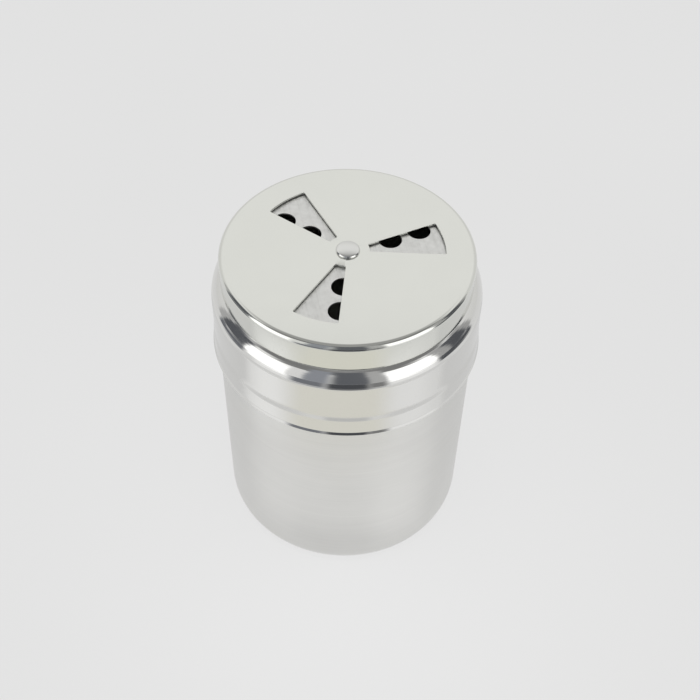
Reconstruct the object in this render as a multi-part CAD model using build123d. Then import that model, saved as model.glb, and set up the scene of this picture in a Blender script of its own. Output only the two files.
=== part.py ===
from build123d import *
import math
import os

os.makedirs("parts", exist_ok=True)

# Spice tin pressed from stainless sheet: a plain drawn cup, a push-on lid with
# a necked top and a stepped skirt, and a windowed cover that turns on a rivet
# over the lid's perforated plate.
#
# Frame: origin on the axis, in the plane of the standing ring, +Z up.  At rest
# the cover's first window is centred on +X.  All sizes are in millimetres.

# ---- Sheet and gaps --------------------------------------------------------
SHEET = 0.5
COVER_GAP = 0.3           # between the cover's disc and the lid's plate
PIVOT_CLEARANCE = 0.05    # radial, round the rivet's shank
STACK_GAP = 0.02          # between the parts stacked on the rivet

# ---- Cup -------------------------------------------------------------------
CUP_R = 31.48
CUP_HEIGHT = 74.8
CUP_FOOT_R = 4.7          # rounding from the wall to the standing ring
CUP_RIM_ROUND = 0.2
PANEL_R = 21.0            # raised panel inside the standing ring
PANEL_RISE = 0.6
PANEL_SLOPE = 1.2
PANEL_ROUND = 0.9

# ---- Rotating cover --------------------------------------------------------
COVER_TOP = 86.1
COVER_R = 29.8
COVER_DEPTH = 7.15
COVER_EDGE_ROUND = 1.2
WINDOW_COUNT = 3
WINDOW_INNER_R = 5.1
WINDOW_OUTER_R = 22.7
WINDOW_ANGLE = 27.0
WINDOW_CORNER_ROUND = 0.35

# ---- Lid -------------------------------------------------------------------
PLATE_TOP = COVER_TOP - SHEET - COVER_GAP
NECK_R = 29.0
NECK_EDGE_ROUND = 0.8
NECK_FOOT = COVER_TOP - 7.2
NECK_FOOT_ROUND = 0.4
SHOULDER_SLOPE = 30.0     # degrees below level, where the shoulder leaves the neck
SHOULDER_ROUND = 5.0
SKIRT_R = 32.18
STEP_TOP = COVER_TOP - 20.6
STEP_TOP_ROUND = 12.0
BAND_R = 32.43            # at the step's foot
STEP_BOTTOM = COVER_TOP - 22.4
STEP_BOTTOM_ROUND = 5.0
LID_EDGE_R = 32.85
LID_EDGE = COVER_TOP - 27.0
FLARE = 0.26              # the band opens out a little along its edge
FLARE_HEIGHT = 0.8
FLARE_ROUND = 0.6

# ---- Holes in the lid's plate ----------------------------------------------
# One pouring pair per sector lies half under each window's edge at rest.
POUR_HOLE_R = 2.75
POUR_RADII = (10.9, 18.4)
POUR_ANGLE = WINDOW_ANGLE / 2
# One triangle of fine sifting holes per sector lies under the closed cover.
SIFT_HOLE_R = 1.0
SIFT_ROWS = ((10.2, 1), (14.6, 2), (19.0, 3))   # radius, holes in the row
SIFT_ANGLE = POUR_ANGLE + 46.0
SIFT_PITCH = 3.3

# ---- Rivet and washers -----------------------------------------------------
RIVET_SHANK_R = 1.5
RIVET_HEAD_R = 2.8
RIVET_HEAD_RIM = 0.6       # upright edge of the head, below its dome
RIVET_DOME_RISE = 0.25
RIVET_HEAD_ROUND = 0.55
RIVET_TAIL_R = 2.1
RIVET_TAIL_HEIGHT = 0.7
RIVET_TAIL_ROUND = 0.3
PIVOT_HOLE_R = RIVET_SHANK_R + PIVOT_CLEARANCE
SPRING_WASHER_R = 4.5
SPRING_WASHER_SHEET = 0.3
SPRING_WASHER_CONE = 0.4
BACKING_WASHER_R = 3.4
BACKING_WASHER_SHEET = 0.5

# Heights down the rivet, from the plate's underside
PLATE_BOTTOM = PLATE_TOP - SHEET
SPRING_TOP = PLATE_BOTTOM - STACK_GAP
SPRING_BOTTOM = SPRING_TOP - SPRING_WASHER_SHEET - SPRING_WASHER_CONE
BACKING_TOP = SPRING_BOTTOM - STACK_GAP
BACKING_BOTTOM = BACKING_TOP - BACKING_WASHER_SHEET
TAIL_TOP = BACKING_BOTTOM - STACK_GAP
TAIL_BOTTOM = TAIL_TOP - RIVET_TAIL_HEIGHT


# ---- Helpers ---------------------------------------------------------------
def revolved(section):
    """Turn a flat section, drawn as (radius, height), about Z."""
    return revolve(Plane.XZ * section, Axis.Z)


def pressed_sheet(points, rounds, side):
    """Revolve a strip of sheet whose outer face follows the points."""
    outer_face = FilletPolyline(*points, radius=rounds)
    strip = offset(outer_face, amount=SHEET, side=side, closed=True)
    return revolved(make_face(strip.edges()))


def flat_ring(outer_r, inner_r, bottom, top):
    """A plain washer shape between two heights."""
    ring = Circle(outer_r) - Circle(inner_r)
    return extrude(Pos(0, 0, bottom) * ring, top - bottom)


def polar(radius, angle):
    """Place something on the plate at a radius and an angle in degrees."""
    turn = math.radians(angle)
    return Pos(radius * math.cos(turn), radius * math.sin(turn), 0)


def drill(hole_r):
    """A cutter long enough to pass through the plate."""
    return Pos(0, 0, PLATE_BOTTOM - SHEET) * extrude(Circle(hole_r), 3 * SHEET)


# ---- Sub-parts -------------------------------------------------------------
def make_cup():
    """Drawn cup with a raised base panel and a softened rim."""
    points = [
        (0, PANEL_RISE),
        (PANEL_R, PANEL_RISE),
        (PANEL_R + PANEL_SLOPE, 0),
        (CUP_R, 0),
        (CUP_R, CUP_HEIGHT),
    ]
    cup = pressed_sheet(points, [PANEL_ROUND, PANEL_ROUND, CUP_FOOT_R], Side.LEFT)
    rim = cup.edges().group_by(Axis.Z)[-1]
    return fillet(rim, CUP_RIM_ROUND)


def make_lid_shell():
    """Perforated plate, neck, rounded shoulder and stepped skirt in one sheet."""
    shoulder_drop = (SKIRT_R - NECK_R) * math.tan(math.radians(SHOULDER_SLOPE))
    points = [
        (PIVOT_HOLE_R, PLATE_TOP),
        (NECK_R, PLATE_TOP),
        (NECK_R, NECK_FOOT),
        (SKIRT_R, NECK_FOOT - shoulder_drop),
        (SKIRT_R, STEP_TOP),
        (BAND_R, STEP_BOTTOM),
        (LID_EDGE_R - FLARE, LID_EDGE + FLARE_HEIGHT),
        (LID_EDGE_R, LID_EDGE),
    ]
    rounds = [
        NECK_EDGE_ROUND,
        NECK_FOOT_ROUND,
        SHOULDER_ROUND,
        STEP_TOP_ROUND,
        STEP_BOTTOM_ROUND,
        FLARE_ROUND,
    ]
    lid = pressed_sheet(points, rounds, Side.RIGHT)
    for sector in range(WINDOW_COUNT):
        turn = Rot(0, 0, sector * 360 / WINDOW_COUNT)
        for hole in pouring_holes() + sifting_holes():
            lid -= turn * hole
    return lid


def pouring_holes():
    """The two round pouring holes of one sector, in a radial line."""
    return [polar(radius, POUR_ANGLE) * drill(POUR_HOLE_R) for radius in POUR_RADII]


def sifting_holes():
    """The fine holes of one sector, in rows that widen outwards."""
    holes = []
    for radius, count in SIFT_ROWS:
        step = math.degrees(SIFT_PITCH / radius)
        first = SIFT_ANGLE - step * (count - 1) / 2
        holes += [polar(radius, first + step * place) * drill(SIFT_HOLE_R) for place in range(count)]
    return holes


def make_rotating_cover():
    """Shallow drawn cover with wedge windows and a hole for the rivet."""
    points = [
        (PIVOT_HOLE_R, COVER_TOP),
        (COVER_R, COVER_TOP),
        (COVER_R, COVER_TOP - COVER_DEPTH),
    ]
    cover = pressed_sheet(points, [COVER_EDGE_ROUND], Side.RIGHT)
    window = window_cutter()
    for sector in range(WINDOW_COUNT):
        cover -= Rot(0, 0, sector * 360 / WINDOW_COUNT) * window
    return cover


def window_cutter():
    """A wedge between two arcs, with softened corners, centred on +X."""
    half = WINDOW_ANGLE / 2
    reach = 2 * WINDOW_OUTER_R
    edge_y = reach * math.tan(math.radians(half))
    wedge = make_face(Polyline((0, 0), (reach, -edge_y), (reach, edge_y), close=True))
    window = wedge & (Circle(WINDOW_OUTER_R) - Circle(WINDOW_INNER_R))
    window = fillet(window.vertices(), WINDOW_CORNER_ROUND)
    return extrude(Pos(0, 0, COVER_TOP - 2 * SHEET) * window, 3 * SHEET)


def make_rivet():
    """Domed head over the cover, shank through the stack, clinched tail."""
    head_bottom = COVER_TOP + STACK_GAP
    dome_foot = head_bottom + RIVET_HEAD_RIM
    head_top = dome_foot + RIVET_DOME_RISE
    dome_r = (RIVET_HEAD_R**2 + RIVET_DOME_RISE**2) / (2 * RIVET_DOME_RISE)
    dome_sweep = math.degrees(math.asin(RIVET_HEAD_R / dome_r))
    dome = CenterArc((0, head_top - dome_r), dome_r, 90 - dome_sweep, dome_sweep)
    below_dome = Polyline(
        (0, head_top),
        (0, TAIL_BOTTOM),
        (RIVET_TAIL_R, TAIL_BOTTOM),
        (RIVET_TAIL_R, TAIL_TOP),
        (RIVET_SHANK_R, TAIL_TOP),
        (RIVET_SHANK_R, head_bottom),
        (RIVET_HEAD_R, head_bottom),
        (RIVET_HEAD_R, dome_foot),
    )
    rivet = revolved(make_face(dome + below_dome))
    head_rim = rivet.edges().filter_by_position(Axis.Z, dome_foot, dome_foot)
    rivet = fillet(head_rim, RIVET_HEAD_ROUND)
    tail_rim = rivet.edges().group_by(Axis.Z)[0]
    return fillet(tail_rim, RIVET_TAIL_ROUND)


def make_spring_washer():
    """Coned washer that presses the plate and the cover together."""
    slope = [
        (PIVOT_HOLE_R, SPRING_BOTTOM),
        (PIVOT_HOLE_R, SPRING_BOTTOM + SPRING_WASHER_SHEET),
        (SPRING_WASHER_R, SPRING_TOP),
        (SPRING_WASHER_R, SPRING_TOP - SPRING_WASHER_SHEET),
    ]
    return revolved(make_face(Polyline(*slope, close=True)))


def make_backing_washer():
    """Flat washer that the rivet's tail is clinched over."""
    return flat_ring(BACKING_WASHER_R, PIVOT_HOLE_R, BACKING_BOTTOM, BACKING_TOP)


SUB_PARTS = {
    "cup": make_cup,
    "lid_shell": make_lid_shell,
    "rotating_cover": make_rotating_cover,
    "rivet": make_rivet,
    "spring_washer": make_spring_washer,
    "backing_washer": make_backing_washer,
}

for node, make in SUB_PARTS.items():
    shape = make()
    shape.label = node
    export_step(shape, f"parts/{node}.step")
    print(f"{node:15s} volume {shape.volume:9.1f} mm3  valid {shape.is_valid}")
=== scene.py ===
import math

import bmesh
import bpy
from mathutils import Matrix, Vector


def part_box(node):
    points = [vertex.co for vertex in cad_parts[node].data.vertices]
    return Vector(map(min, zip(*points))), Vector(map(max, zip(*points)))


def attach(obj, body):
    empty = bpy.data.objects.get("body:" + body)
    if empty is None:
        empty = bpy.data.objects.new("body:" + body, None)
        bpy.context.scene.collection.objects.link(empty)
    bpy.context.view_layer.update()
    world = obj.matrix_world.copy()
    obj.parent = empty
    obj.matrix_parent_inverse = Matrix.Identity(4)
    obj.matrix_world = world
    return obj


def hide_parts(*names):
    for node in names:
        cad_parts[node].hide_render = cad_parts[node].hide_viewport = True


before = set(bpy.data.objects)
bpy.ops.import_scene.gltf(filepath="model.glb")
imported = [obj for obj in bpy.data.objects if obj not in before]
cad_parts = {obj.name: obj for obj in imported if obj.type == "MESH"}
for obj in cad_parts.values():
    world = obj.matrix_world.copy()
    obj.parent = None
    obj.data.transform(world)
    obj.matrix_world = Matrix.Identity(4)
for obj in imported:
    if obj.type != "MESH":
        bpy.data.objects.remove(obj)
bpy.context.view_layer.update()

# The cup, the lid, the cover and the rivet are built again here, in the CAD
# frame, from the CAD's driving sizes.  The two washers keep their CAD solids.

# ---- Sizes, in metres -------------------------------------------------------
MM = 0.001
SHEET = 0.5 * MM
SEGMENTS = 240              # round the axis
HOLE_POINTS = {"pivot": 48, "pour": 64, "sift": 32}

cover_low, cover_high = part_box("rotating_cover")
lid_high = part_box("lid_shell")[1]
cup_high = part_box("cup")[1]
rivet_low, rivet_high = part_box("rivet")

COVER_TOP = cover_high.z
COVER_EDGE = cover_low.z
COVER_R = cover_high.x
COVER_ROUND = 1.2 * MM
PIVOT_HOLE_R = 1.55 * MM

WINDOWS = 3
WINDOW_INNER_R = 5.1 * MM
WINDOW_OUTER_R = 22.7 * MM
WINDOW_ANGLE = math.radians(27.0)
WINDOW_CORNER = 0.35 * MM
WINDOW_ARC_STEPS = 24
WINDOW_CORNER_STEPS = 5

PLATE_TOP = lid_high.z
NECK_R = 29.0 * MM
NECK_ROUND = 0.8 * MM
NECK_FOOT = COVER_TOP - 7.2 * MM
NECK_FOOT_ROUND = 0.4 * MM
SHOULDER_SLOPE = math.radians(30.0)
SHOULDER_ROUND = 5.0 * MM
SKIRT_R = 32.18 * MM
STEP_TOP = COVER_TOP - 20.6 * MM
STEP_TOP_ROUND = 12.0 * MM
BAND_R = 32.43 * MM         # at the step's foot
STEP_BOTTOM = COVER_TOP - 22.4 * MM
STEP_BOTTOM_ROUND = 5.0 * MM
LID_EDGE_R = 32.85 * MM
LID_EDGE = COVER_TOP - 27.0 * MM
FLARE = 0.26 * MM           # the band opens out a little along its edge
FLARE_HEIGHT = 0.8 * MM
FLARE_ROUND = 0.6 * MM

POUR_HOLE_R = 2.75 * MM
POUR_RADII = (10.9 * MM, 18.4 * MM)
POUR_ANGLE = WINDOW_ANGLE / 2
SIFT_HOLE_R = 1.0 * MM
SIFT_ROWS = ((10.2 * MM, 1), (14.6 * MM, 2), (19.0 * MM, 3))
SIFT_ANGLE = POUR_ANGLE + math.radians(46.0)
SIFT_PITCH = 3.3 * MM

CUP_R = cup_high.x
CUP_TOP = cup_high.z
CUP_FOOT_ROUND = 4.7 * MM
PANEL_R = 21.0 * MM
PANEL_RISE = 0.6 * MM
PANEL_SLOPE = 1.2 * MM
PANEL_ROUND = 0.9 * MM

RIVET_SHANK_R = 1.5 * MM
RIVET_HEAD_R = rivet_high.x
RIVET_HEAD_FOOT = COVER_TOP + 0.02 * MM
RIVET_HEAD_RIM = 0.6 * MM
RIVET_HEAD_ROUND = 0.55 * MM
RIVET_TAIL_R = 2.1 * MM
RIVET_TAIL_TOP = rivet_low.z + 0.7 * MM
RIVET_TAIL_ROUND = 0.3 * MM
RIVET_TAIL_RIM_ROUND = 0.1 * MM
RIVET_SEAT_ROUND = 0.05 * MM
RIVET_CROWN_INSET = 1.3 * RIVET_HEAD_ROUND   # from the head's edge in to the crown
DOME_STEPS = 11

CUT_EDGE = 0.07 * MM        # rollover where a punch has gone through the sheet
RIM_EDGE = 0.09 * MM        # softened trimmed edges
BURR = 0.25 * CUT_EDGE      # how far a punched hole opens at its underside
BURR_HEIGHT = 0.5 * CUT_EDGE
ROLLOVER_STEPS = 4
CORNER_STEPS = 10           # along each rounded corner of a sheet
RIVET_CORNER_STEPS = 6
SUPPORT = 0.08 * MM         # extra rings this close to the ends of a long run
LONG_RUN = 6 * SUPPORT
MERGE = 0.0005 * MM         # points closer than this are joined


# ---- Outlines: lists of (radius, height) ------------------------------------
def rounded(corners, radii, steps=CORNER_STEPS):
    """An open outline through the corners, each inner one rounded by its radius."""
    outline = [Vector(corners[0])]
    for before, corner, after, radius in zip(corners, corners[1:], corners[2:], radii):
        outline += corner_arc(Vector(before), Vector(corner), Vector(after), radius, steps)
    outline.append(Vector(corners[-1]))
    return outline


def corner_arc(before, corner, after, radius, steps):
    """Points of the arc that rounds one corner, tangent to both of its sides."""
    to_before = (before - corner).normalized()
    to_after = (after - corner).normalized()
    half = to_before.angle(to_after) / 2
    sweep = math.pi - 2 * half
    start = corner + to_before * (radius / math.tan(half))
    end = corner + to_after * (radius / math.tan(half))
    centre = corner + (to_before + to_after).normalized() * (radius / math.sin(half))
    arc = []
    for step in range(steps + 1):
        share = step / steps
        weight_start = math.sin((1 - share) * sweep) / math.sin(sweep)
        weight_end = math.sin(share * sweep) / math.sin(sweep)
        arc.append(centre + (start - centre) * weight_start + (end - centre) * weight_end)
    return arc


def inner_face(corners):
    """The corners moved sideways by the sheet's thickness, to the right of travel."""
    sides = []
    for a, b in zip(corners, corners[1:]):
        along = (Vector(b) - Vector(a)).normalized()
        across = Vector((along.y, -along.x)) * SHEET
        sides.append((Vector(a) + across, along))
    moved = [sides[0][0]]
    for (start, along), (other, other_along) in zip(sides, sides[1:]):
        turn = along.x * other_along.y - along.y * other_along.x
        gap = other - start
        reach = (gap.x * other_along.y - gap.y * other_along.x) / turn
        moved.append(start + along * reach)
    last_along = sides[-1][1]
    moved.append(Vector(corners[-1]) + Vector((last_along.y, -last_along.x)) * SHEET)
    return moved


def turns_right(before, corner, after):
    """True where the outline bends to the right, towards the sheet's other face."""
    first, second = Vector(corner) - Vector(before), Vector(after) - Vector(corner)
    return first.x * second.y - first.y * second.x < 0


def sheet_outline(corners, radii):
    """Outer face as far as the trimmed edge, round it, and back along the inner face."""
    inner = inner_face(corners)
    inner_radii = []
    for place, radius in enumerate(radii):
        right = turns_right(*corners[place:place + 3])
        inner_radii.append(radius - SHEET if right else radius + SHEET)
    loop = list(corners) + inner[::-1]
    return rounded(loop, radii + [RIM_EDGE, RIM_EDGE] + inner_radii[::-1])


def with_supports(outline):
    """The outline with a point added close to each end of every long straight run."""
    full = [outline[0]]
    for a, b in zip(outline, outline[1:]):
        length = (b - a).length
        if length > LONG_RUN:
            inset = (b - a) * (SUPPORT / length)
            full += [a + inset, b - inset]
        full.append(b)
    return full


# ---- Mesh building ----------------------------------------------------------
class Pressing:
    """Rings of points skinned into one closed mesh."""

    def __init__(self):
        self.mesh = bmesh.new()

    def ring(self, points):
        """New vertices, one for each point."""
        return [self.mesh.verts.new(point) for point in points]

    def turned(self, radius, height):
        """A ring about the axis."""
        angles = [2 * math.pi * step / SEGMENTS for step in range(SEGMENTS)]
        return self.ring([(radius * math.cos(a), radius * math.sin(a), height) for a in angles])

    def skin(self, rings, material=0):
        """Four-sided faces between each ring and the next."""
        for lower, upper in zip(rings, rings[1:]):
            count = len(lower)
            for place in range(count):
                after = (place + 1) % count
                corners = (lower[place], lower[after], upper[after], upper[place])
                self.mesh.faces.new(corners).material_index = material

    def lathe(self, outline):
        """The outline turned about the axis."""
        rings = [self.turned(point.x, point.y) for point in outline]
        self.skin(rings)
        return rings

    def fill(self, loops, material=0):
        """Flat triangles between an outer loop and the loops inside it."""
        edges = []
        for loop in loops:
            for a, b in zip(loop, loop[1:] + loop[:1]):
                edges.append(self.mesh.edges.get((a, b)) or self.mesh.edges.new((a, b)))
        made = bmesh.ops.triangle_fill(self.mesh, edges=edges, use_beauty=True, use_dissolve=False)
        for item in made["geom"]:
            if isinstance(item, bmesh.types.BMFace):
                item.material_index = material

    def finish(self, name, materials, body, slot, nodes):
        """Turn the mesh into a piece that rides a body and stands for CAD nodes."""
        bmesh.ops.remove_doubles(self.mesh, verts=self.mesh.verts, dist=MERGE)
        bmesh.ops.recalc_face_normals(self.mesh, faces=self.mesh.faces)
        for face in self.mesh.faces:
            face.smooth = True
        data = bpy.data.meshes.new(name)
        self.mesh.to_mesh(data)
        self.mesh.free()
        piece = bpy.data.objects.new(name, data)
        bpy.context.scene.collection.objects.link(piece)
        for material in materials:
            data.materials.append(material)
        normals = piece.modifiers.new("flat_faces_stay_flat", "WEIGHTED_NORMAL")
        normals.weight = 100
        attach(piece, body)
        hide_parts(*nodes)


def punched(pressing, loop_at, top, bottom, material):
    """The wall of a punched hole: rolled over above, opened a little below.
    loop_at(grow) gives the hole's outline, grown outwards by a distance."""
    levels = []
    for step in range(ROLLOVER_STEPS + 1):
        turn = math.pi / 2 * step / ROLLOVER_STEPS
        levels.append((CUT_EDGE * (1 - math.sin(turn)), top - CUT_EDGE * (1 - math.cos(turn))))
    levels += [(0, bottom + BURR_HEIGHT), (BURR, bottom)]
    rings = [pressing.ring([(x, y, height) for x, y in loop_at(grow)]) for grow, height in levels]
    pressing.skin(rings, material)
    return rings[0], rings[-1]


def round_hole(radius, angle, hole_r, count):
    """Outline maker for a round hole at a polar place on the plate."""
    x, y = radius * math.cos(angle), radius * math.sin(angle)

    def loop_at(grow):
        reach = hole_r + grow
        turns = [2 * math.pi * step / count for step in range(count)]
        return [(x + reach * math.cos(t), y + reach * math.sin(t)) for t in turns]

    return loop_at


def wedge_hole(middle):
    """Outline maker for a wedge window between two arcs, its corners rounded."""
    half = WINDOW_ANGLE / 2

    def loop_at(grow):
        rounding = WINDOW_CORNER + grow
        outer, inner = WINDOW_OUTER_R + grow, WINDOW_INNER_R - grow
        points = wedge_end(outer, outer - rounding, 0, (-1, 1), half, rounding)
        points += wedge_end(inner, inner + rounding, math.pi, (1, -1), half, rounding)
        turn = Matrix.Rotation(middle, 2)
        return [turn @ Vector(point) for point in points]

    return loop_at


def wedge_end(arc_r, corner_r, facing, sides, half, rounding):
    """One end of a wedge: a rounded corner, the arc across, and the other corner.
    corner_r is where the corners' centres lie, facing turns the inner end about."""
    tilt = math.asin(WINDOW_CORNER / corner_r)
    first, last = [side * (half - tilt) for side in sides]
    corners = []
    for side, angle in zip(sides, (first, last)):
        centre = (corner_r * math.cos(angle), corner_r * math.sin(angle))
        radial, sideways = angle + facing, side * (half + math.pi / 2)
        corners.append((centre, radial, sideways))
    centre, radial, sideways = corners[0]
    points = swept(centre, rounding, sideways, radial, WINDOW_CORNER_STEPS)
    for step in range(1, WINDOW_ARC_STEPS):
        a = first + (last - first) * step / WINDOW_ARC_STEPS
        points.append((arc_r * math.cos(a), arc_r * math.sin(a)))
    centre, radial, sideways = corners[1]
    points += swept(centre, rounding, radial, sideways, WINDOW_CORNER_STEPS)
    return points


def swept(centre, radius, start, end, steps):
    """Points on an arc that takes the short way from one direction to another."""
    span = (end - start + math.pi) % (2 * math.pi) - math.pi
    points = []
    for step in range(steps + 1):
        a = start + span * step / steps
        points.append((centre[0] + radius * math.cos(a), centre[1] + radius * math.sin(a)))
    return points


# ---- Materials --------------------------------------------------------------
class Nodes:
    """A small helper for wiring one material's nodes."""

    def __init__(self, name):
        self.material = bpy.data.materials.new(name)
        self.material.use_nodes = True
        self.tree = self.material.node_tree
        self.shader = self.tree.nodes["Principled BSDF"]
        self.place = self.add("ShaderNodeTexCoord").outputs["Object"]

    def add(self, kind, **settings):
        node = self.tree.nodes.new(kind)
        for key, value in settings.items():
            setattr(node, key, value)
        return node

    def link(self, source, target):
        self.tree.links.new(source, target)

    def noise(self, scale, stretch=(1, 1, 1), turn=(0, 0, 0), detail=3.0, roughness=0.55):
        """Cloudy noise over the object's own coordinates."""
        mapping = self.add("ShaderNodeMapping")
        mapping.inputs["Scale"].default_value = stretch
        mapping.inputs["Rotation"].default_value = turn
        self.link(self.place, mapping.inputs["Vector"])
        noise = self.add("ShaderNodeTexNoise")
        noise.inputs["Scale"].default_value = scale
        noise.inputs["Detail"].default_value = detail
        noise.inputs["Roughness"].default_value = roughness
        self.link(mapping.outputs["Vector"], noise.inputs["Vector"])
        return noise.outputs["Fac"]

    def spread(self, source, low, high, out_low, out_high):
        """The source's range from low to high, mapped to another range."""
        span = self.add("ShaderNodeMapRange")
        span.inputs["From Min"].default_value = low
        span.inputs["From Max"].default_value = high
        span.inputs["To Min"].default_value = out_low
        span.inputs["To Max"].default_value = out_high
        self.link(source, span.inputs["Value"])
        return span.outputs["Result"]

    def math(self, operation, first, second):
        """A sum or the like of two values, each a number or an output."""
        node = self.add("ShaderNodeMath", operation=operation)
        for socket, value in zip(node.inputs, (first, second)):
            if isinstance(value, (int, float)):
                socket.default_value = value
            else:
                self.link(value, socket)
        return node.outputs["Value"]

    def tint(self, factor, dark, light):
        """A colour between two, by a factor from 0 to 1."""
        mix = self.add("ShaderNodeMix", data_type="RGBA")
        mix.inputs["A"].default_value = (*dark, 1)
        mix.inputs["B"].default_value = (*light, 1)
        self.link(factor, mix.inputs["Factor"])
        return mix.outputs["Result"]

    def bump(self, height, distance, strength=1.0, under=None):
        """A normal roughened by a height, on top of another normal if given."""
        node = self.add("ShaderNodeBump")
        node.inputs["Strength"].default_value = strength
        node.inputs["Distance"].default_value = distance
        self.link(height, node.inputs["Height"])
        if under is not None:
            self.link(under, node.inputs["Normal"])
        return node.outputs["Normal"]


def scratches(nodes, scale, directions, threshold):
    """Fine straight marks lying in several directions, from 0 to 1."""
    total = None
    for turn in directions:
        streaks = nodes.noise(scale, (1, 0.012, 1), (0, 0, math.radians(turn)), detail=1.0)
        marks = nodes.spread(streaks, threshold, threshold + 0.05, 0.0, 1.0)
        total = marks if total is None else nodes.math("MAXIMUM", total, marks)
    return total


def polished_steel(name, dark, light, rough_low, rough_high, wave):
    """Polished sheet: faint pressing waves, clouded polish and hair scratches."""
    nodes = Nodes(name)
    nodes.shader.inputs["Metallic"].default_value = 1.0
    clouds = nodes.spread(nodes.noise(90, detail=4.0), 0.3, 0.7, 0, 1)
    nodes.link(nodes.tint(clouds, dark, light), nodes.shader.inputs["Base Color"])
    hairs = scratches(nodes, 2600, (12, 67, 118, 161), 0.70)
    haze = nodes.spread(nodes.noise(240, detail=5.0), 0.3, 0.75, rough_low, rough_high)
    rough = nodes.math("ADD", haze, nodes.math("MULTIPLY", hairs, 0.03))
    nodes.link(rough, nodes.shader.inputs["Roughness"])
    waves = nodes.bump(nodes.noise(60, detail=1.0), wave)
    fine = nodes.bump(hairs, 0.0002 * MM, 0.3, waves)
    nodes.link(fine, nodes.shader.inputs["Normal"])
    return nodes.material


def satin_plate():
    """The lid's plate: a blotched rolled finish with hair scratches and fine grit."""
    nodes = Nodes("satin_plate")
    nodes.shader.inputs["Metallic"].default_value = 1.0
    blotches = nodes.spread(nodes.noise(420, detail=5.0, roughness=0.65), 0.3, 0.7, 0, 1)
    colour = nodes.tint(blotches, (0.73, 0.73, 0.712), (0.84, 0.84, 0.822))
    nodes.link(colour, nodes.shader.inputs["Base Color"])
    hairs = scratches(nodes, 2100, (5, 48, 95, 140), 0.62)
    haze = nodes.spread(nodes.noise(900, detail=4.0), 0.3, 0.75, 0.32, 0.46)
    rough = nodes.math("ADD", haze, nodes.math("MULTIPLY", hairs, 0.12))
    nodes.link(rough, nodes.shader.inputs["Roughness"])
    grit = nodes.bump(nodes.noise(2600, detail=2.0), 0.004 * MM)
    nodes.link(nodes.bump(hairs, 0.004 * MM, 0.6, grit), nodes.shader.inputs["Normal"])
    return nodes.material


def brushed_steel():
    """The cup's wall: fine brushing that runs round the axis."""
    nodes = Nodes("brushed_wall")
    nodes.shader.inputs["Metallic"].default_value = 1.0
    nodes.shader.inputs["Anisotropic"].default_value = 0.45
    tangent = nodes.add("ShaderNodeTangent", direction_type="RADIAL", axis="Z")
    nodes.link(tangent.outputs["Tangent"], nodes.shader.inputs["Tangent"])
    fine = nodes.noise(1, (38, 38, 5200), detail=3.0, roughness=0.7)
    broad = nodes.noise(1, (14, 14, 700), detail=2.0)
    mottle = nodes.noise(70, detail=2.0)
    grain = nodes.math("ADD", nodes.math("MULTIPLY", fine, 0.45), nodes.math("MULTIPLY", broad, 0.25))
    grain = nodes.math("ADD", grain, nodes.math("MULTIPLY", mottle, 0.3))
    shade = nodes.spread(grain, 0.35, 0.65, 0, 1)
    colour = nodes.tint(shade, (0.738, 0.735, 0.715), (0.790, 0.787, 0.767))
    nodes.link(colour, nodes.shader.inputs["Base Color"])
    nodes.link(nodes.spread(grain, 0.3, 0.7, 0.29, 0.36), nodes.shader.inputs["Roughness"])
    nodes.link(nodes.bump(fine, 0.0008 * MM, 0.5), nodes.shader.inputs["Normal"])
    return nodes.material


def rolled_steel():
    """Plain washers: rolled strip with blotches."""
    nodes = Nodes("washer_steel")
    nodes.shader.inputs["Metallic"].default_value = 1.0
    blotches = nodes.noise(1500, detail=4.0)
    shade = nodes.spread(blotches, 0.3, 0.7, 0, 1)
    colour = nodes.tint(shade, (0.56, 0.56, 0.55), (0.68, 0.68, 0.67))
    nodes.link(colour, nodes.shader.inputs["Base Color"])
    nodes.link(nodes.spread(blotches, 0.3, 0.7, 0.25, 0.42), nodes.shader.inputs["Roughness"])
    nodes.link(nodes.bump(blotches, 0.003 * MM), nodes.shader.inputs["Normal"])
    return nodes.material


# ---- Pieces -----------------------------------------------------------------
def make_cover(material):
    """Disc with three punched windows, rounded edge and short skirt."""
    corners = [
        (PIVOT_HOLE_R, COVER_TOP),
        (COVER_R, COVER_TOP),
        (COVER_R, COVER_EDGE),
    ]
    holes = [wedge_hole(2 * math.pi * place / WINDOWS) for place in range(WINDOWS)]
    pressing = press_plate(corners, [COVER_ROUND], holes, 0)
    pressing.finish("cover_polished", [material], "cover", "polished_cover", ["rotating_cover"])


def press_plate(corners, radii, holes, plate):
    """A turned sheet whose flat top, first in the outline, carries punched holes.
    plate is the top's material index."""
    pressing = Pressing()
    # The flat stretch up to the first bend is left out, and filled round the holes.
    outline = with_supports(sheet_outline(corners, radii)[1:-1])
    rings = pressing.lathe(outline)
    top, bottom = corners[0][1], corners[0][1] - SHEET
    pivot = round_hole(0, 0, PIVOT_HOLE_R, HOLE_POINTS["pivot"])
    above, below = [rings[0]], [rings[-1]]
    for loop_at in [pivot] + holes:
        upper, lower = punched(pressing, loop_at, top, bottom, plate)
        above.append(upper)
        below.append(lower)
    pressing.fill(above, plate)
    pressing.fill(below)
    return pressing


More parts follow.
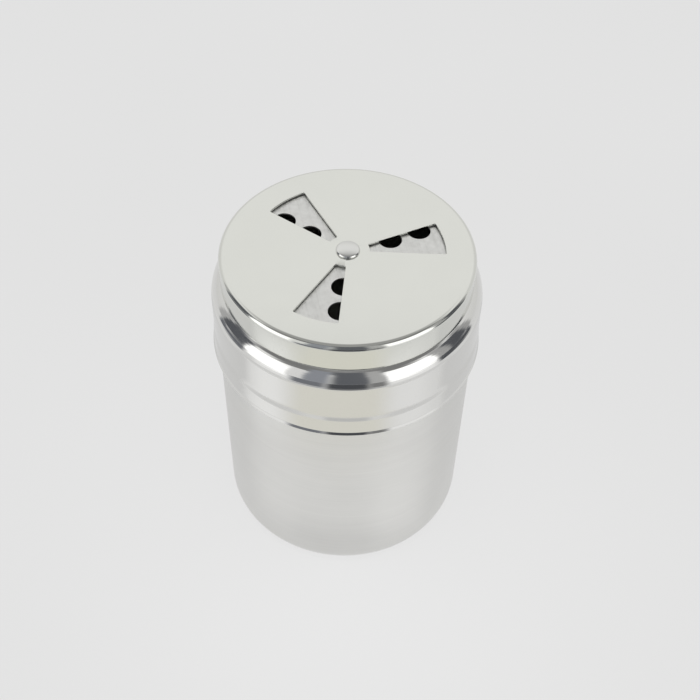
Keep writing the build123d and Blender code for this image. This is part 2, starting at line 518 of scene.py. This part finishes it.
def make_lid(skirt, plate):
    """Plate with its dispensing holes, neck, shoulder, skirt and lower band."""
    drop = (SKIRT_R - NECK_R) * math.tan(SHOULDER_SLOPE)
    corners = [
        (PIVOT_HOLE_R, PLATE_TOP),
        (NECK_R, PLATE_TOP),
        (NECK_R, NECK_FOOT),
        (SKIRT_R, NECK_FOOT - drop),
        (SKIRT_R, STEP_TOP),
        (BAND_R, STEP_BOTTOM),
        (LID_EDGE_R - FLARE, LID_EDGE + FLARE_HEIGHT),
        (LID_EDGE_R, LID_EDGE),
    ]
    radii = [
        NECK_ROUND,
        NECK_FOOT_ROUND,
        SHOULDER_ROUND,
        STEP_TOP_ROUND,
        STEP_BOTTOM_ROUND,
        FLARE_ROUND,
    ]
    holes = []
    for place in range(WINDOWS):
        holes += sector_holes(2 * math.pi * place / WINDOWS)
    pressing = press_plate(corners, radii, holes, 1)
    pressing.finish("lid_pressed", [skirt, plate], "lid", "polished_lid", ["lid_shell"])


def sector_holes(turn):
    """One sector's pair of pouring holes and its triangle of sifting holes."""
    holes = []
    for radius in POUR_RADII:
        holes.append(round_hole(radius, turn + POUR_ANGLE, POUR_HOLE_R, HOLE_POINTS["pour"]))
    for radius, count in SIFT_ROWS:
        step = SIFT_PITCH / radius
        first = turn + SIFT_ANGLE - step * (count - 1) / 2
        for place in range(count):
            angle = first + step * place
            holes.append(round_hole(radius, angle, SIFT_HOLE_R, HOLE_POINTS["sift"]))
    return holes


def make_cup(material):
    """Drawn cup: base panel, standing ring, rounded foot, wall and trimmed rim."""
    corners = [
        (0, PANEL_RISE),
        (PANEL_R, PANEL_RISE),
        (PANEL_R + PANEL_SLOPE, 0),
        (CUP_R, 0),
        (CUP_R, CUP_TOP),
    ]
    radii = [PANEL_ROUND, PANEL_ROUND, CUP_FOOT_ROUND]
    mirrored = [(-radius, height) for radius, height in corners]   # sheet lies inside
    outline = [Vector((-point.x, point.y)) for point in sheet_outline(mirrored, radii)]
    pressing = Pressing()
    pressing.lathe(with_supports(outline))
    pressing.finish("cup_brushed", [material], "cup", "brushed_wall", ["cup"])


def make_rivet(material):
    """Low head with a well rounded rim, shank and clinched tail."""
    rise = rivet_high.z - RIVET_HEAD_FOOT - RIVET_HEAD_RIM
    dome_r = (RIVET_HEAD_R**2 + rise**2) / (2 * rise)
    centre = rivet_high.z - dome_r
    crown_r = RIVET_HEAD_R - RIVET_CROWN_INSET
    dome = []
    for step in range(DOME_STEPS + 1):
        reach = crown_r * step / DOME_STEPS
        dome.append(Vector((reach, centre + math.sqrt(dome_r**2 - reach**2))))
    corners = [
        dome[-1],
        (RIVET_HEAD_R, RIVET_HEAD_FOOT + RIVET_HEAD_RIM),
        (RIVET_HEAD_R, RIVET_HEAD_FOOT),
        (RIVET_SHANK_R, RIVET_HEAD_FOOT),
        (RIVET_SHANK_R, RIVET_TAIL_TOP),
        (RIVET_TAIL_R, RIVET_TAIL_TOP),
        (RIVET_TAIL_R, rivet_low.z),
        (0, rivet_low.z),
    ]
    radii = [
        RIVET_HEAD_ROUND,
        RIVET_SEAT_ROUND,
        RIVET_SEAT_ROUND,
        RIVET_SEAT_ROUND,
        RIVET_TAIL_RIM_ROUND,
        RIVET_TAIL_ROUND,
    ]
    pressing = Pressing()
    pressing.lathe(dome + rounded(corners, radii, RIVET_CORNER_STEPS)[1:])
    pressing.finish("rivet_domed", [material], "lid", "rivet_steel", ["rivet"])


# ---- Stage ------------------------------------------------------------------
CAMERA_BACK = 181.5 * MM        # level distance from the axis
CAMERA_RISE = 174.1 * MM        # above the cover
CAMERA_AZIMUTH = math.radians(-12.1)
CAMERA_PITCH = math.radians(49.02)
CAMERA_YAW = math.radians(0.33)
CAMERA_ROLL = math.radians(1.38)
CAMERA_LENS = 56.07
SENSOR = 36.0


def make_camera():
    """A camera in front of the tin, above it, looking down at it."""
    data = bpy.data.cameras.new("camera")
    data.sensor_width = SENSOR
    data.lens = CAMERA_LENS
    data.clip_start = 10 * MM
    camera = bpy.data.objects.new("camera", data)
    bpy.context.scene.collection.objects.link(camera)
    turn = Matrix.Rotation(CAMERA_AZIMUTH, 4, "Z")
    place = Matrix.Translation((0, -CAMERA_BACK, COVER_TOP + CAMERA_RISE))
    aim = (
        Matrix.Rotation(-CAMERA_YAW, 4, "Z")
        @ Matrix.Rotation(math.pi / 2 - CAMERA_PITCH, 4, "X")
        @ Matrix.Rotation(CAMERA_ROLL, 4, "Z")
    )
    camera.matrix_world = turn @ place @ aim
    bpy.context.scene.camera = camera


WHITE, COOL, WARM = (1, 1, 1), (0.86, 0.90, 1.0), (1.0, 0.985, 0.905)
STUDIO_R = 900 * MM         # the ball that the wall cards hang on
STUDIO_MIDDLE = 75 * MM     # its centre's height
WALL_STEP = 2.0 * MM        # each later card hangs this much nearer
MAT_STEP = 0.05 * MM        # each later mat lies this much higher
CARD_COLUMNS, CARD_ROWS = 36, 18

FLOOR_REACH = 6.0           # metres from the axis to each side
PAPER_DARK, PAPER_LIGHT = (0.13, 0.13, 0.13), (0.14, 0.14, 0.14)
PAPER_GLOW = 0.70
PAINTED_POOL_FORWARD = 30 * MM      # painted pool of light: the paper glows brighter here, in front of the tin
PAINTED_POOL_R = 160 * MM
PAINTED_POOL_RIM, PAINTED_POOL_CENTRE = (0.899, 0.899, 0.899), (1.0, 1.0, 1.0)

# The surroundings: sine of the elevation and grey level
SKY_LOW, SKY_HIGH = (0.72, 0.72, 0.71, 1), (0.36, 0.36, 0.36, 1)
SKY_LEVELS = ((0.45, 0.76), (0.62, 0.89), (0.73, 0.89), (0.78, 0.82), (0.85, 0.57), (0.92, 0.38))
SKY_BLUE = 0.99             # blue, as a share of the grey level

OVERHEAD_SIZE = 1.2         # metres across
OVERHEAD_HEIGHT = 1.3       # metres
OVERHEAD_POWER = 6.0        # watts


def on_wall(azimuth, elevation, layer):
    """A place on the ball of cards round the tin, both angles in degrees."""
    e = math.radians(elevation)
    flat = around(azimuth) * math.cos(e)
    reach = STUDIO_R - layer * WALL_STEP
    return (flat + Vector((0, 0, math.sin(e)))) * reach + Vector((0, 0, STUDIO_MIDDLE))


def on_floor(azimuth, distance, layer):
    """A place just over the floor, at a distance in millimetres from the axis."""
    return around(azimuth) * distance * MM + Vector((0, 0, (layer + 1) * MAT_STEP))


def beside(across, toward, layer):
    """A place just over the floor, in millimetres to the camera's right of the
    axis and towards it."""
    flat = around(90) * across + around(0) * toward
    return flat * MM + Vector((0, 0, (layer + 1) * MAT_STEP))


def around(azimuth):
    """Level direction.  Azimuth 0 is the camera's side, positive to its right."""
    a = math.radians(azimuth) + CAMERA_AZIMUTH - math.pi / 2
    return Vector((math.cos(a), math.sin(a), 0))


def card(layer, name, place, across, along, soft, strength, colour=WHITE):
    """A soft-edged card, seen only in the tin's reflections.  place() takes a
    point within the two ranges, and soft is the fade at each range's ends."""
    mesh = bmesh.new()
    solid = mesh.verts.layers.float.new("solid")
    grid = []
    for row in range(CARD_ROWS + 1):
        b = along[0] + (along[1] - along[0]) * row / CARD_ROWS
        line = []
        for column in range(CARD_COLUMNS + 1):
            a = across[0] + (across[1] - across[0]) * column / CARD_COLUMNS
            vert = mesh.verts.new(place(a, b, layer))
            vert[solid] = fade(a, across, soft[0]) * fade(b, along, soft[1])
            line.append(vert)
        grid.append(line)
    for low, high in zip(grid, grid[1:]):
        for column in range(CARD_COLUMNS):
            mesh.faces.new((low[column], low[column + 1], high[column + 1], high[column]))
    data = bpy.data.meshes.new(name)
    mesh.to_mesh(data)
    mesh.free()
    data.materials.append(soft_glow(name, colour, strength))
    piece = bpy.data.objects.new(name, data)
    bpy.context.scene.collection.objects.link(piece)
    piece.visible_camera = False
    piece.visible_diffuse = False
    piece.visible_shadow = False
    piece.visible_transmission = False


def fade(value, span, soft):
    """0 at either end of the span, 1 from the soft width inwards."""
    inward = min(value - span[0], span[1] - value) / soft
    share = min(max(inward, 0.0), 1.0)
    return share * share * (3 - 2 * share)


def soft_glow(name, colour, strength):
    """A glow that turns clear where the mesh's "solid" value falls to 0."""
    material = bpy.data.materials.new(name)
    material.use_nodes = True
    tree = material.node_tree
    tree.nodes.clear()
    glow = tree.nodes.new("ShaderNodeEmission")
    glow.inputs["Color"].default_value = (*colour, 1)
    glow.inputs["Strength"].default_value = strength
    clear = tree.nodes.new("ShaderNodeBsdfTransparent")
    solid = tree.nodes.new("ShaderNodeAttribute")
    solid.attribute_name = "solid"
    mix = tree.nodes.new("ShaderNodeMixShader")
    output = tree.nodes.new("ShaderNodeOutputMaterial")
    tree.links.new(solid.outputs["Fac"], mix.inputs["Fac"])
    tree.links.new(clear.outputs["BSDF"], mix.inputs[1])
    tree.links.new(glow.outputs["Emission"], mix.inputs[2])
    tree.links.new(mix.outputs["Shader"], output.inputs["Surface"])
    return material


def make_floor():
    """Pale paper that glows by itself, so that shadows on it stay faint, and glows brighter still in
    a painted pool of light in front of the tin.
    """
    data = bpy.data.meshes.new("floor")
    mesh = bmesh.new()
    bmesh.ops.create_grid(mesh, x_segments=1, y_segments=1, size=FLOOR_REACH)
    mesh.to_mesh(data)
    mesh.free()
    floor = bpy.data.objects.new("floor", data)
    bpy.context.scene.collection.objects.link(floor)
    nodes = Nodes("floor_paper")
    tone = nodes.spread(nodes.noise(6, detail=2.0), 0.3, 0.7, 0, 1)
    nodes.link(nodes.tint(tone, PAPER_DARK, PAPER_LIGHT), nodes.shader.inputs["Base Color"])
    # Painted pool of light: the paper's glow rises towards a spot in front of the tin.
    painted_pool = nodes.add("ShaderNodeMapping", vector_type="TEXTURE")
    painted_pool.inputs["Location"].default_value = around(0) * PAINTED_POOL_FORWARD
    painted_pool.inputs["Scale"].default_value = (PAINTED_POOL_R, PAINTED_POOL_R, PAINTED_POOL_R)
    nodes.link(nodes.place, painted_pool.inputs["Vector"])
    gradient = nodes.add("ShaderNodeTexGradient", gradient_type="QUADRATIC_SPHERE")
    nodes.link(painted_pool.outputs["Vector"], gradient.inputs["Vector"])
    # The glow runs from the painted pool's rim to its brighter centre.
    glow = nodes.tint(gradient.outputs["Fac"], PAINTED_POOL_RIM, PAINTED_POOL_CENTRE)
    nodes.link(glow, nodes.shader.inputs["Emission Color"])
    nodes.shader.inputs["Emission Strength"].default_value = PAPER_GLOW
    nodes.shader.inputs["Roughness"].default_value = 0.85
    nodes.shader.inputs["Specular IOR Level"].default_value = 0.0
    data.materials.append(nodes.material)


def make_world():
    """Pale surroundings, brightest about 42 degrees up, under a greyer ceiling."""
    world = bpy.data.worlds.new("studio")
    bpy.context.scene.world = world
    world.use_nodes = True
    tree = world.node_tree
    background = tree.nodes["Background"]
    background.inputs["Strength"].default_value = 1.0
    place = tree.nodes.new("ShaderNodeTexCoord")
    split = tree.nodes.new("ShaderNodeSeparateXYZ")
    ramp = tree.nodes.new("ShaderNodeValToRGB")
    tree.links.new(place.outputs["Generated"], split.inputs["Vector"])
    tree.links.new(split.outputs["Z"], ramp.inputs["Fac"])
    tree.links.new(ramp.outputs["Color"], background.inputs["Color"])
    stops = ramp.color_ramp.elements
    stops[0].position, stops[0].color = 0.0, SKY_LOW
    stops[1].position, stops[1].color = 1.0, SKY_HIGH
    for height, level in SKY_LEVELS:
        stop = stops.new(height)
        stop.color = (level, level, level * SKY_BLUE, 1)


def make_soft_light():
    """A broad light overhead that only lights the paper, softly."""
    data = bpy.data.lights.new("overhead", "AREA")
    data.shape = "DISK"
    data.size = OVERHEAD_SIZE
    data.energy = OVERHEAD_POWER
    light = bpy.data.objects.new("overhead", data)
    light.location = (0, 0, OVERHEAD_HEIGHT)
    light.visible_glossy = False
    bpy.context.scene.collection.objects.link(light)


# Cards: name, kind, range across, range along, fades, strength and colour.
# on_wall ranges are azimuths and elevations in degrees, on_floor ranges are
# azimuths in degrees and distances in millimetres, and beside ranges are
# millimetres to the right and towards the camera.  Later cards cover earlier ones.
LOW, WALL_FADE = -7, (4, 5)
WALLS = [
    ("ceiling_grey", on_wall, (-90, 104), (39, 65), (10, 5), 0.22),
    ("wall_front", on_wall, (-15, 24), (LOW, 63), (10, 5), 0.145, COOL),
    ("wall_grey_left", on_wall, (-35, -8), (LOW, 60), (8, 5), 0.34, COOL),
    ("wall_grey_right", on_wall, (15, 34), (LOW, 60), (6, 5), 0.45),
    ("wall_pale_left", on_wall, (-48, -29), (LOW, 44), WALL_FADE, 0.80),
    ("light_left", on_wall, (-80, -41), (LOW, 36), WALL_FADE, 1.5),
    ("light_right", on_wall, (28, 71), (LOW, 39), WALL_FADE, 1.5),
    ("wall_dim_right", on_wall, (67, 84), (LOW, 42), WALL_FADE, 0.40),
    ("wall_dark_left", on_wall, (-106, -76), (LOW, 46), (4, 9), 0.12, COOL),
    ("wall_dark_right", on_wall, (79, 102), (LOW, 40), WALL_FADE, 0.11, COOL),
    ("wall_shade_left", on_wall, (-113, -102), (LOW, 42), WALL_FADE, 0.45),
    ("wall_shade_right", on_wall, (96, 107), (LOW, 40), WALL_FADE, 0.38),
]
NEAR, FAR, MAT_FADE = 104, 960, (8, 30)
MATS = [
    ("mat_shade_left", beside, (-112, -26), (-75, 24), (14, 10), 0.675),
    ("mat_shade_right", beside, (26, 112), (-75, 26), (14, 10), 0.675),
    # A slightly dark ring on the floor round the cup's foot: painted contact shade, seen only in the
    # cup's reflection.
    ("mat_foot", on_floor, (-98, 98), (28, 46), (14, 8), 0.70),
    ("mat_cup_left", on_floor, (-66, -22), (33, 72), (18, 12), 0.81),
    ("mat_cup_right", on_floor, (10, 60), (31, 72), (18, 12), 0.85),
    ("mat_warm", on_floor, (-60, 52), (66, 118), (34, 16), 0.78, WARM),
    ("mat_skirt_left", on_floor, (-84, -30), (64, 106), (25, 14), 0.93),
    ("mat_skirt_right", on_floor, (18, 74), (64, 106), (25, 14), 0.87),
    ("mat_ring_left", on_floor, (-90, -24), (98, 140), (10, 10), 0.71),
    ("mat_ring_right", on_floor, (24, 88), (98, 140), (10, 10), 0.71),
    ("mat_bright_left", on_floor, (-71, -26), (128, FAR), (9, 22), 0.92),
    ("mat_bright_right", on_floor, (22, 70), (128, FAR), (8, 22), 0.93),
    ("mat_far_left", on_floor, (-76, -40), (300, FAR), (4, 120), 1.4),
    ("mat_far_right", on_floor, (28, 68), (300, FAR), (4, 120), 1.4),
    ("mat_front", on_floor, (-17, 21), (NEAR, FAR), MAT_FADE, 0.085, COOL),
    ("mat_grey_left", on_floor, (-42, -10), (NEAR + 15, FAR), MAT_FADE, 0.22, COOL),
    ("mat_grey_right", on_floor, (12, 33), (NEAR + 15, FAR), MAT_FADE, 0.22),
    ("mat_dark_left", on_floor, (-107, -75), (190, FAR), (4, 50), 0.18, COOL),
    ("mat_dark_right", on_floor, (67, 104), (175, FAR), (4, 50), 0.10, COOL),
]


def make_studio():
    """The paper, the surroundings, the light and every card."""
    make_floor()
    make_world()
    make_soft_light()
    for layer, settings in enumerate(WALLS + MATS):
        card(layer, *settings)


# ---- Build ------------------------------------------------------------------
cover_steel = polished_steel(
    "polished_cover", (0.766, 0.772, 0.732), (0.778, 0.784, 0.744), 0.08, 0.13, 0.002 * MM)
lid_steel = polished_steel(
    "polished_lid", (0.772, 0.770, 0.752), (0.786, 0.784, 0.766), 0.07, 0.12, 0.003 * MM)
rivet_steel = polished_steel(
    "polished_rivet", (0.74, 0.74, 0.72), (0.79, 0.79, 0.77), 0.14, 0.22, 0.002 * MM)

make_cover(cover_steel)
make_lid(lid_steel, satin_plate())
make_cup(brushed_steel())
make_rivet(rivet_steel)
washers = rolled_steel()
for node in ("spring_washer", "backing_washer"):
    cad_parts[node].data.materials.clear()
    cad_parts[node].data.materials.append(washers)

make_studio()
make_camera()
bpy.context.scene.view_settings.view_transform = "Standard"
